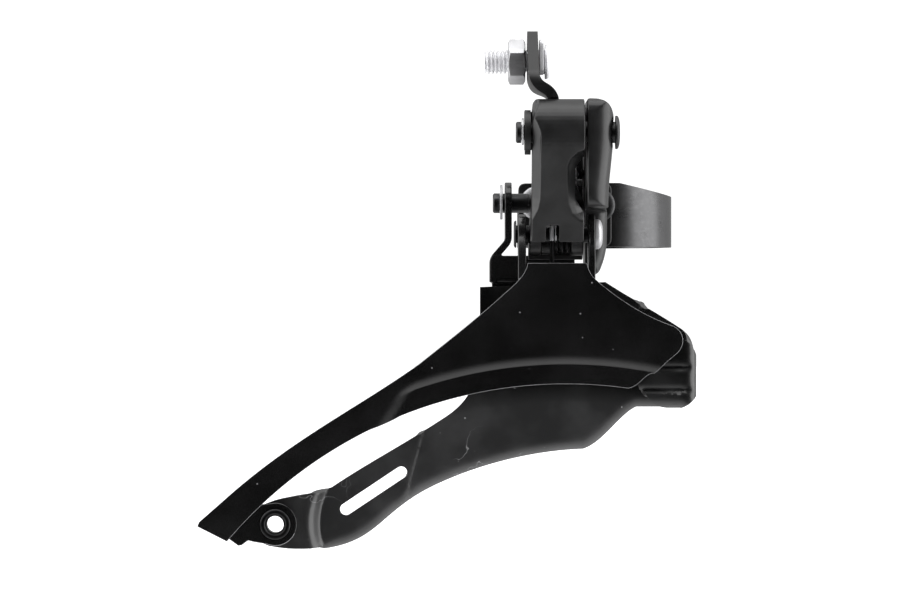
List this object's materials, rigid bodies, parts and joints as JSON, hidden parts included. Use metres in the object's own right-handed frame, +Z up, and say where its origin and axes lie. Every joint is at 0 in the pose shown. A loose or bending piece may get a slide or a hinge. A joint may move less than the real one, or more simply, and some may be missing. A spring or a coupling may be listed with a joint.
{
  "type": "front derailleur",
  "caption": "Bottom-pull front derailleur: seat tube band clamp, sprung four-bar linkage with a cable arm, and a pressed steel chain cage with a swept tail.",
  "frame": {"origin": "on the seat tube's axis, at the middle height of the clamp band", "axes": "+X forward on the bicycle, -Y towards the drive side, +Z up along the seat tube"},
  "size_m": [0.0992, 0.0811, 0.1042],
  "materials": {
    "gloss_black_paint": "gloss black paint on pressed steel",
    "black_resin": "satin black moulded glass-filled resin",
    "black_plated_steel": "satin black plated steel",
    "zinc_steel": "bright zinc-plated steel"
  },
  "bodies": {
    "bracket": {"bracket": "black_resin", "clamp_band": "black_plated_steel", "clamp_bolt": "zinc_steel", "clamp_nut": "zinc_steel", "band_rivet_rear": "zinc_steel", "band_rivet_front": "black_plated_steel", "upper_pivot_pin": "black_plated_steel", "upper_pin_clip": "zinc_steel", "inner_pivot_pin": "black_plated_steel", "inner_pin_clip": "zinc_steel"},
    "low_limit_screw": {"low_limit_screw": "zinc_steel"},
    "high_limit_screw": {"high_limit_screw": "zinc_steel"},
    "outer_link": {"outer_link": "black_resin", "upper_pivot_bush": "zinc_steel", "cable_arm": "black_plated_steel", "cable_bolt": "zinc_steel", "cable_nut": "zinc_steel", "cable_plate": "zinc_steel", "return_spring": "zinc_steel"},
    "inner_link": {"inner_link": "zinc_steel"},
    "cage": {"outer_plate": "gloss_black_paint", "inner_plate": "gloss_black_paint", "link_bracket": "gloss_black_paint", "bracket_rivet_rear": "black_plated_steel", "bracket_rivet_front": "black_plated_steel", "tail_eyelet": "black_plated_steel", "lower_pivot_pin": "zinc_steel", "cage_pivot_pin": "black_plated_steel", "cage_pin_clip": "zinc_steel"}
  },
  "joints": [
    {"name": "outer_link_swing", "type": "hinge", "parent": "bracket", "child": "outer_link", "pos_m": [0, -0.0505, 0.0158], "axis": [-1, 0, 0], "range_deg": [0, 42], "stiffness_Nm_per_rad": 0.35, "springref_deg": -34.38, "deforming": ["return_spring"]},
    {"name": "inner_link_swing", "type": "hinge", "parent": "bracket", "child": "inner_link", "pos_m": [0, -0.041, 0.0195], "axis": [-1, 0, 0], "range_deg": [0, 46]},
    {"name": "cage_swing", "type": "hinge", "parent": "outer_link", "child": "cage", "pos_m": [0, -0.0415, -0.0041], "axis": [-1, 0, 0], "range_deg": [-38, 0]},
    {"name": "low_limit_turn", "type": "hinge", "parent": "bracket", "child": "low_limit_screw", "pos_m": [-0.0055, -0.0287, 0.0118], "axis": [0, 0, 1], "continuous": true},
    {"name": "high_limit_turn", "type": "hinge", "parent": "bracket", "child": "high_limit_screw", "pos_m": [-0.0003, -0.0252, 0.0118], "axis": [0, 0, 1], "continuous": true}
  ],
  "couplings": [
    {"joint": "inner_link_swing", "follows": "outer_link_swing", "ratio": 1.0918},
    {"joint": "cage_swing", "follows": "outer_link_swing", "ratio": -0.896}
  ]
}
